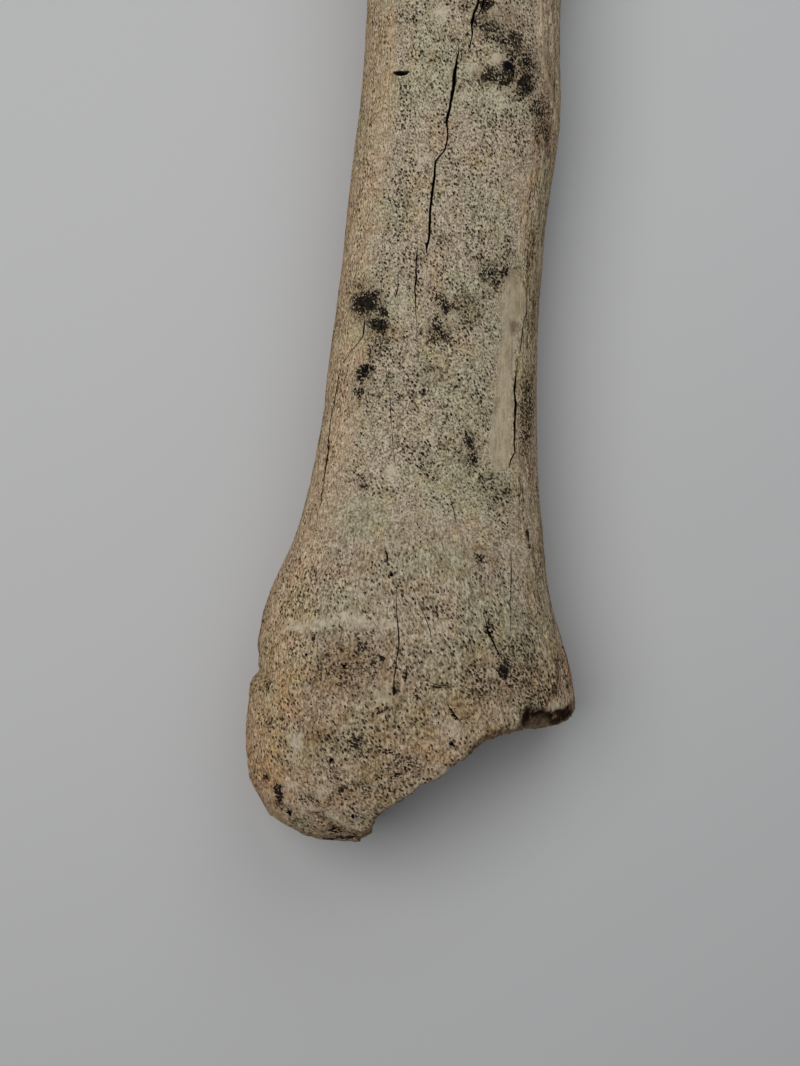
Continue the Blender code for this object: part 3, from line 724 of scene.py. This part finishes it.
        (15.3, -64, 4.5, 3.8, 0.4), (-13.7, -103.8, 8.6, 7.6, 0.45), (20.5, -102.2, 6.1, 8.1, 0.4),
        (11.8, -78.1, 3, 2.5, 0.5), (-8.8, -101.4, 2.5, 2, 0.5), (-11.6, -120.8, 2.6, 2.1, 0.5),
        (-18.7, -119.7, 4.7, 3.1, 0.3), (-12.2, -142.2, 4.2, 1, 0.7, -10), (-27.6, -134.6, 1.6, 3.7, 0.6),
        (15.3, -108, 7.3, 3.1, 0.3, -40)],
    pale=[
        (-8, -61.9, 1.6, 1.9, 0.7), (6.2, 40.6, 1.1, 0.8, 1), (7.8, 30.6, 1.4, 1.1, 0.95),
        (11.8, 24.8, 0.8, 0.8, 1), (10.4, 23.5, 1.1, 0.8, 0.85), (11.1, 33, 0.3, 0.3, 0.9),
        (-5, 39, 1.7, 2.3, 0.6), (2.6, 27.8, 2, 1, 0.75), (-6.6, 7.7, 2.3, 0.9, 0.75),
        (1.3, 21.6, 1.9, 1.1, 0.5), (7.8, 21.5, 3.4, 2.3, 0.3), (1.1, 39.9, 0.8, 1.1, 0.5),
        (-8.2, -24.9, 1.9, 2.6, 0.45), (-4, -17.3, 1.1, 2.3, 0.35), (1.8, -26.7, 2.3, 0.8, 0.4, -35),
        (0.4, -64.5, 3, 1.5, 0.35), (-4.8, -62.7, 1.9, 0.8, 0.3), (13.6, -58.3, 1.9, 0.8, 0.45),
        (4.3, -95.6, 3, 3, 0.3), (-11.3, -88.1, 3, 3, 0.2), (-24.4, -122.3, 1.8, 2.4, 0.6, -20),
        (-25.3, -125.2, 1.6, 1, 0.5), (-17.8, -132.2, 2.6, 1.3, 0.55, -20),
        (-25.1, -131.7, 3.1, 1.1, 0.5, -20), (-7, -109.1, 3.1, 2.6, 0.4), (8.9, -115.4, 3.7, 2.1, 0.45, 30),
        (8.2, -125, 3.1, 0.6, 0.6, 30), (-15.5, -138.5, 1.6, 0.5, 0.8, -25),
        (-21.2, -136.2, 2.6, 0.9, 0.4, -25), (32.8, -110.2, 3.1, 0.7, 0.6, 20)],
    fray=0.45,            # how far the marks' edges wander
    wild=0.62,            # strength of the stains where the photo doesn't show the bone
    wildHaze=0.6,
    wildRange=(0.10, 0.60),
    wildSize=(8.0, 21.0, 9.0),
)


def markShare(places, marks):
    fray = markSet["fray"]
    spots = places[:, :2].copy()
    spots[:, 0] += readNoise(places, 1.6, 41, 2) * fray
    spots[:, 1] += readNoise(places, 1.6, 43, 2) * fray * 1.5
    share = np.zeros(len(places))
    for x, y, across, along, strength, *turn in marks:
        angle = math.radians(sum(turn))
        dx, dy = spots[:, 0] - x, spots[:, 1] - y
        a = (dx * math.cos(angle) - dy * math.sin(angle)) / across
        b = (dx * math.sin(angle) + dy * math.cos(angle)) / along
        share = np.maximum(share, strength * (1.0 - smoothStep(0.55, 1.35, np.hypot(a, b))))
    return share


def depthBelow(places):
    # how deep each place lies in a crack or hole
    return np.array([uncutTree.find_nearest(Vector(place) * mm)[3] / mm for place in places])


def addShare(mesh, name, values):
    layer = mesh.attributes.new(name, "FLOAT", "POINT")
    layer.data.foreach_set("value", np.ascontiguousarray(values, dtype=np.float32))


def lineSum(sign):
    # all pale (1) or all dark (-1) lines of the relief in one share; the dark ones are painted shade in
    # grooves, the pale ones are the scar's own colour and a painted highlight on the ledge's lip and the
    # ribs
    shades = {name: reliefSet["lines"][name][2] * sign for name in lines}
    return sum(np.maximum(line * shades[name], 0.0) for name, line in lines.items())


def paintShares():
    mesh = bone.data
    tree = pointTree(uncutPlaces)
    source = np.array([tree.find(Vector(place))[1] for place in finalPlaces])
    seen = (frontShare * smoothStep(*zoneSet["seen"], bonePlaces[:, 1]))[source]
    marks = {
        name: markShare(finalPlaces, markSet[name]) * frontShare[source]
        for name in ("stain", "soot", "haze", "pale")
    }
    wild = smoothStep(*markSet["wildRange"], readNoise(grain, markSet["wildSize"], 71, 4))
    wild = wild[source] * (1.0 - seen)
    marks["stain"] = np.maximum(marks["stain"], wild * markSet["wild"])
    marks["haze"] = np.maximum(marks["haze"], wild * markSet["wildHaze"])
    # painted shade: how deep a place lies in a crack or hole, which blackens it
    marks["depth"] = smoothStep(0.12, 0.7, depthBelow(finalPlaces))
    across = grain[:, 0] / grainSet["halfWidth"] + readNoise(grain, (3.0, 14.0, 3.0), 61, 2) * 0.12
    left, right = (smoothStep(*zoneSet[side], across) for side in ("left", "right"))
    along = bonePlaces[:, 1] + readNoise(bonePlaces, 14.0, 51, 2) * 8.0
    back = smoothStep(*zoneSet["back"], grain[:, 2])
    evenShares = dict(
        # the pale scar's own colour, and a painted highlight on the ledge's lip and the ribs
        paleRidgeAndHighlight=lineSum(1.0),
        # painted shade: the dark lines of the relief, in its grooves
        groove=lineSum(-1.0),
        scraped=scraped,
        rim=rim,
        # painted shade: the crumbled rim where it sinks deep
        pocketShade=smoothStep(1.2, 3.0, rimDepth),
        sponge=sponge * broken,
        # painted shade: the pores' depth, which darkens them
        poreShade=spongePores * sponge * broken * (1.0 - rim) / breakSet["depth"],
        joint=joint,
        streaky=np.maximum.reduce([smoothStep(*zoneSet["streaky"], along), left, right, back * 0.9]),
        left=left,
        right=right,
        lobe=smoothStep(*zoneSet["lobe"], along),
        back=back,
    )
    marks.update({name: values[source] for name, values in evenShares.items()})
    for name, values in marks.items():
        addShare(mesh, name, values)
    layer = mesh.attributes.new("grain", "FLOAT_VECTOR", "POINT")
    layer.data.foreach_set("vector", grain[source].astype(np.float32).ravel())


paintShares()
print("marks placed")


# Finish of the bone: one node material, laid along the fibres

material = bpy.data.materials.new("weatheredBone")
material.use_nodes = True
tree = material.node_tree


def addNode(kind, **values):
    node = tree.nodes.new("ShaderNode" + kind)
    for name, value in values.items():
        setattr(node, name, value)
    return node


def connect(source, target):
    if isinstance(source, bpy.types.NodeSocket):
        tree.links.new(source, target)
    else:
        target.default_value = (*source, 1.0) if target.type == "RGBA" else source


def calc(operation, *inputs, clamp=False):
    node = addNode("Math", operation=operation, use_clamp=clamp)
    for source, target in zip(inputs, node.inputs):
        connect(source, target)
    return node.outputs[0]


def times(*values):
    return reduce(lambda first, second: calc("MULTIPLY", first, second), values)


def most(*values):
    return reduce(lambda first, second: calc("MAXIMUM", first, second), values)


def scaled(value, factor, offset, clamp=False):
    return calc("MULTIPLY_ADD", value, factor, offset, clamp=clamp)


def between(share, first, second):
    return scaled(share, calc("SUBTRACT", second, first), first)


def blend(share, first, second, kind="MIX"):
    node = addNode("Mix", data_type="RGBA", blend_type=kind)
    for source, target in zip((share, first, second), (node.inputs[0], node.inputs[6], node.inputs[7])):
        connect(source, target)
    return node.outputs[2]


def ramp(value, low, high):
    # 0 at low, 1 at high, with soft ends; low may be the larger one
    node = addNode("MapRange", interpolation_type="SMOOTHSTEP")
    for source, target in zip((value, low, high), node.inputs):
        connect(source, target)
    return node.outputs[0]


def readShare(name):
    return addNode("Attribute", attribute_name=name).outputs["Fac"]


fibrePlace = addNode("Attribute", attribute_name="grain").outputs["Vector"]


def fit(size, turn, seed):
    # places along the fibres; size is a swell's width along each axis, turn its slant in degrees
    mapping = addNode("Mapping", vector_type="TEXTURE")
    mapping.inputs["Location"].default_value = (seed * 3.1, seed * 5.3, seed * 7.7)
    mapping.inputs["Rotation"].default_value = (0.0, 0.0, math.radians(turn))
    mapping.inputs["Scale"].default_value = size
    connect(fibrePlace, mapping.inputs["Vector"])
    return mapping.outputs[0]


def grainNoise(size, turn, detail, roughness, seed):
    node = addNode("TexNoise", noise_dimensions="3D")
    node.inputs["Scale"].default_value = 1.0
    node.inputs["Detail"].default_value = detail
    node.inputs["Roughness"].default_value = roughness
    connect(fit(size, turn, seed), node.inputs["Vector"])
    return node.outputs["Fac"]


def grainDots(size, turn, seed, radius, faint):
    # strewn dots of at most the given radius in spacings; some are paler by up to faint, and
    # each also gets a random number
    node = addNode("TexVoronoi", voronoi_dimensions="3D", feature="F1")
    node.inputs["Scale"].default_value = 1.0
    connect(fit(size, turn, seed), node.inputs["Vector"])
    number = addNode("SeparateColor")
    connect(node.outputs["Color"], number.inputs[0])
    inner = scaled(number.outputs[1], -boneFinish["dotSpread"], radius)
    outer = calc("ADD", inner, boneFinish["dotEdge"])
    dots = ramp(node.outputs["Distance"], outer, inner)
    strength = calc("SUBTRACT", 1.0, times(number.outputs[0], faint))
    return times(dots, strength), number.outputs[0]


boneFinish = dict(
    low=(0.225, 0.175, 0.118),              # the ground's dark and light grains
    high=(0.640, 0.545, 0.408),
    bare=(0.530, 0.440, 0.305),             # where the surface is scraped off
    worn=(0.450, 0.370, 0.262),             # on the joints
    # pale chips, also used as a painted highlight on the ribs and the ledge's lip
    paleChipAndHighlight=(0.600, 0.520, 0.390),
    black=(0.003, 0.003, 0.003),
    umber=(0.030, 0.021, 0.014),
    soot=(0.003, 0.004, 0.006),
    rust=(0.185, 0.082, 0.042),
    # painted shade in the broken end's hollow, pores and crumbled rim
    pocketShade=(0.040, 0.021, 0.013),
    marrow=(0.300, 0.215, 0.130),
    tints=dict(                             # the ground is multiplied by these
        green=(0.93, 1.00, 0.95),
        yellow=(1.00, 0.94, 0.80),
        pink=(1.00, 0.91, 0.88),
        # tan and bark tint the flanks and also lighten them: painted light
        tanAndPaintedLight=(1.27, 1.16, 1.06),
        barkAndPaintedLight=(1.34, 1.25, 1.18),
        lobe=(0.99, 0.88, 0.80),
        back=(0.90, 0.80, 0.66),
        joint=(1.02, 0.94, 0.80),
        shade=(0.62, 0.55, 0.47),
        line=(0.46, 0.37, 0.29),
        haze=(0.36, 0.28, 0.21),
    ),
    noises=dict(                            # width of the swells, slant, detail, roughness, seed
        wide=((12.0, 17.0, 12.0), 0.0, 3.0, 0.5, 0.0),
        patch=((4.0, 6.0, 4.0), 0.0, 3.0, 0.5, 4.0),
        blush=((6.0, 8.0, 6.0), 0.0, 3.0, 0.5, 27.0),
        blotch=((1.3, 2.1, 1.3), 0.0, 2.0, 0.6, 33.0),
        mottle=((0.36, 0.54, 0.36), 20.0, 2.0, 0.65, 15.0),
        fibres=((0.30, 0.92, 0.30), 6.0, 2.0, 0.65, 51.0),
        streak=((0.42, 3.6, 0.42), 0.0, 3.0, 0.6, 9.0),
        furrow=((0.9, 13.0, 0.9), 0.0, 3.0, 0.65, 12.0),
        crowd=((4.2, 6.4, 4.2), 0.0, 2.0, 0.5, 21.0),
        pins=((0.30, 0.42, 0.30), 0.0, 1.0, 0.6, 18.0),
    ),
    roughness=(0.75, 0.95),
    specular=0.06,
    bump=(0.5, 0.25),                       # strength, and depth in millimetres
    speck=((0.55, 0.90, 0.55), 36.0, 2.0),  # spacing of the black specks, slant, seed
    stroke=((0.44, 1.00, 0.44), 16.0, 7.0), # the same where the bone is streaky
    crumb=((0.38, 0.54, 0.38), 30.0, 13.0), # the same in the stains and at the lower end
    speckSize=(0.27, 0.43),                 # their radius in spacings, where they are few and many
    speckGrowth=dict(stain=0.15, soot=0.12),
    crumbSize=-0.12,
    crumbGrowth=dict(stain=0.76, soot=0.12, lobe=0.24, haze=0.14),
    dotSpread=0.18,                         # how much smaller than the largest some dots are
    dotEdge=0.07,
    faint=0.28,
    apart=-0.45,                            # shrinks the dots where the other kind lies
)


def grownRadius(radius, growth, marks):
    for name, gain in growth.items():
        radius = scaled(marks[name], gain, radius)
    return radius


def makeBoneFinish():
    look = boneFinish
    shader = tree.nodes["Principled BSDF"]
    marks = {name: readShare(name) for name in (
        "stain", "soot", "haze", "pale", "depth", "paleRidgeAndHighlight", "groove", "scraped", "rim", "pocketShade", "sponge",
        "poreShade", "joint", "streaky", "left", "right", "lobe", "back")}

    def tinted(colour, share, name):
        return blend(share, colour, look["tints"][name], "MULTIPLY")

    # noises of all widths in the order of the settings, from the broad patches to the grains
    wide, patch, blush, blotch, mottle, fibres, streak, furrow, crowd, pins = (
        grainNoise(*values) for values in look["noises"].values())
    mottle = between(times(marks["streaky"], 0.8), mottle, fibres)

    # ground: dark and light grains, tinted in patches
    colour = blend(ramp(mottle, 0.36, 0.64), look["low"], look["high"])
    colour = tinted(colour, ramp(wide, 0.44, 0.60), "green")
    colour = tinted(colour, times(ramp(patch, 0.50, 0.68), 0.7), "yellow")
    colour = tinted(colour, times(ramp(blush, 0.52, 0.68), 0.55), "pink")
    colour = tinted(colour, times(ramp(blotch, 0.58, 0.34), 0.55), "shade")
    # flanks: a warm tan on the left and a brown tint on the right, both lightened as painted light on the
    # curved sides
    colour = tinted(colour, marks["left"], "tanAndPaintedLight")
    colour = tinted(colour, marks["right"], "barkAndPaintedLight")
    colour = tinted(colour, times(marks["lobe"], between(ramp(patch, 0.35, 0.62), 0.55, 1.0)), "lobe")
    colour = tinted(colour, marks["back"], "back")
    colour = blend(times(marks["joint"], 0.65), colour, look["worn"])
    colour = tinted(colour, marks["joint"], "joint")

    # fibres: fine dark lines, and along both edges furrows with pale ribs between them, darkened and paled
    # as painted shade and painted highlight on the bump's own furrows
    sides = most(times(marks["left"], 0.25), marks["right"])
    lined = scaled(marks["streaky"], 0.32, scaled(marks["right"], 0.42, 0.10))
    colour = tinted(colour, times(ramp(streak, 0.54, 0.36), lined), "line")
    # painted shade: the furrows of the bump are darkened
    colour = tinted(colour, times(ramp(furrow, 0.50, 0.36), sides, 0.75), "line")
    # painted highlight: the ribs between the furrows are paled
    colour = blend(times(ramp(furrow, 0.52, 0.66), sides, mottle, 0.9), colour, look["paleChipAndHighlight"])

    # scraped patch, pale chips, the pale scar and pale ribs with a painted highlight on the ribs and the
    # ledge's lip, and the haze around the stains, which as painted shade also darkens the grooves
    thin = between(ramp(streak, 0.36, 0.58), 0.55, 0.85)
    colour = blend(times(marks["scraped"], thin), colour, look["bare"])
    colour = tinted(colour, times(marks["scraped"], ramp(streak, 0.56, 0.40), 0.20), "line")
    colour = tinted(colour, times(marks["scraped"], ramp(blotch, 0.60, 0.36), 0.22), "shade")
    ragged = scaled(mottle, 1.7, scaled(blotch, 1.6, -0.93), clamp=True)
    pale = times(most(times(marks["pale"], 1.1), marks["paleRidgeAndHighlight"]), ragged)
    colour = blend(pale, colour, look["paleChipAndHighlight"])
    # the haze tint darkens the stains' haze, and as painted shade the grooves
    dim = most(times(marks["haze"], 0.75), times(marks["stain"], 0.5), times(marks["groove"], 0.9))
    colour = tinted(colour, times(dim, scaled(blotch, -0.9, 1.35, clamp=True)), "haze")

    # black specks: strewn everywhere, and growing together in the stains
    smooth = most(pale, marks["scraped"], times(marks["joint"], 0.5))
    wander = scaled(pins, 0.5, scaled(smooth, -0.4, -0.25))
    radius = calc("ADD", between(ramp(crowd, 0.36, 0.64), *look["speckSize"]), wander)
    radius = grownRadius(radius, look["speckGrowth"], marks)
    slantedRadius = scaled(marks["streaky"], look["apart"], radius)
    straightRadius = scaled(calc("SUBTRACT", 1.0, marks["streaky"]), look["apart"], radius)
    crumbRadius = grownRadius(calc("ADD", wander, look["crumbSize"]), look["crumbGrowth"], marks)
    slanted, tone = grainDots(*look["speck"], slantedRadius, look["faint"])
    straight, _ = grainDots(*look["stroke"], straightRadius, look["faint"])
    clean = scaled(marks["stain"], -0.9, 0.45, clamp=True)
    crumbs, _ = grainDots(*look["crumb"], crumbRadius, clean)
    dots = most(slanted, straight, crumbs)
    colour = blend(dots, colour, blend(tone, look["black"], look["umber"]))
    sooty = scaled(mottle, 1.4, scaled(blotch, 0.7, marks["soot"]))
    colour = blend(times(ramp(sooty, 1.68, 1.92), marks["soot"], 0.95), colour, look["soot"])

    # broken edge and face, with painted shade in its hollow and pores, and cracks and holes blackened by
    # their depth as painted shade
    raw = blend(ramp(blotch, 0.40, 0.60), look["rust"], look["marrow"])
    # painted shade: dark patches in the crumbled rim's raw bone
    raw = blend(times(ramp(mottle, 0.52, 0.40), 0.8), raw, look["pocketShade"])
    colour = blend(marks["rim"], colour, raw)
    # painted shade: the deep hollow at the broken corner
    colour = blend(times(marks["pocketShade"], ramp(blotch, 0.72, 0.54)), colour, look["pocketShade"])
    # painted shade: deeper pores turn rustier and the deepest nearly black
    colour = blend(marks["sponge"], colour, blend(marks["poreShade"], look["marrow"], look["rust"]))
    colour = blend(times(marks["poreShade"], marks["poreShade"]), colour, look["pocketShade"])
    # painted shade: cracks and holes turn black with their depth
    colour = blend(marks["depth"], colour, look["black"])
    connect(colour, shader.inputs["Base Color"])

    low, high = look["roughness"]
    connect(scaled(mottle, high - low, low), shader.inputs["Roughness"])
    shader.inputs["Specular IOR Level"].default_value = look["specular"]

    # bump: the specks are pores, the lines are open fibres
    height = scaled(dots, -0.7, times(mottle, 0.6))
    height = calc("ADD", height, times(streak, 0.5))
    height = calc("ADD", height, times(furrow, sides, 1.5))
    bump = addNode("Bump")
    strength, depth = look["bump"]
    bump.inputs["Strength"].default_value = strength
    bump.inputs["Distance"].default_value = depth * mm
    connect(height, bump.inputs["Height"])
    connect(bump.outputs[0], shader.inputs["Normal"])


makeBoneFinish()
bone.data.materials.clear()
bone.data.materials.append(material)
bone.data.shade_smooth()
bone.data.set_sharp_from_angle(angle=math.radians(65.0))
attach(bone, "root")
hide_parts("bone")
print("finish ready")


# Floor and light

stageSet = dict(
    floorSize=9.0,                                # metres
    floorColour=(0.60, 0.60, 0.605, 1.0),
    floorRoughness=0.8,
    floorSpecular=0.2,
    floorDrop=0.0001,                             # how far it lies below the bone
    lamps={                                       # place and size in metres, power in watts
        "window": dict(place=(-0.21, -0.02, 0.50), size=0.45, power=1.37, colour=(1.0, 0.985, 0.965)),
        "farWindow": dict(place=(0.10, 0.22, 0.35), size=0.35, power=0.46, colour=(0.94, 0.98, 1.0)),
    },
    sky=(0.94, 0.97, 1.0, 1.0),
    skyStrength=0.20,
)


def makeStage():
    mesh = bpy.data.meshes.new("floor")
    bm = bmesh.new()
    bmesh.ops.create_grid(bm, x_segments=1, y_segments=1, size=stageSet["floorSize"] / 2.0)
    bmesh.ops.translate(bm, vec=(0.0, 0.0, -stageSet["floorDrop"]), verts=bm.verts)
    bm.to_mesh(mesh)
    bm.free()
    floor = addObject("floor", mesh)
    material = bpy.data.materials.new("floorPaint")
    material.use_nodes = True
    shader = material.node_tree.nodes["Principled BSDF"]
    shader.inputs["Base Color"].default_value = stageSet["floorColour"]
    shader.inputs["Roughness"].default_value = stageSet["floorRoughness"]
    shader.inputs["Specular IOR Level"].default_value = stageSet["floorSpecular"]
    mesh.materials.append(material)


def makeLamps():
    target = Vector((cameraSet["place"][0], cameraSet["place"][1], 0.0)) * mm
    for name, lamp in stageSet["lamps"].items():
        data = bpy.data.lights.new(name, "AREA")
        data.shape = "DISK"
        data.size = lamp["size"]
        data.energy = lamp["power"]
        data.color = lamp["colour"]
        light = bpy.data.objects.new(name, data)
        light.location = Vector(lamp["place"])
        light.rotation_euler = (target - light.location).to_track_quat("-Z", "Y").to_euler()
        light.visible_camera = False
        bpy.context.collection.objects.link(light)


def makeSky():
    world = bpy.data.worlds.new("sky")
    world.use_nodes = True
    background = world.node_tree.nodes["Background"]
    background.inputs["Color"].default_value = stageSet["sky"]
    background.inputs["Strength"].default_value = stageSet["skyStrength"]
    bpy.context.scene.world = world
    bpy.context.scene.view_settings.view_transform = "Standard"


makeStage()
makeLamps()
makeSky()
print("stage ready")
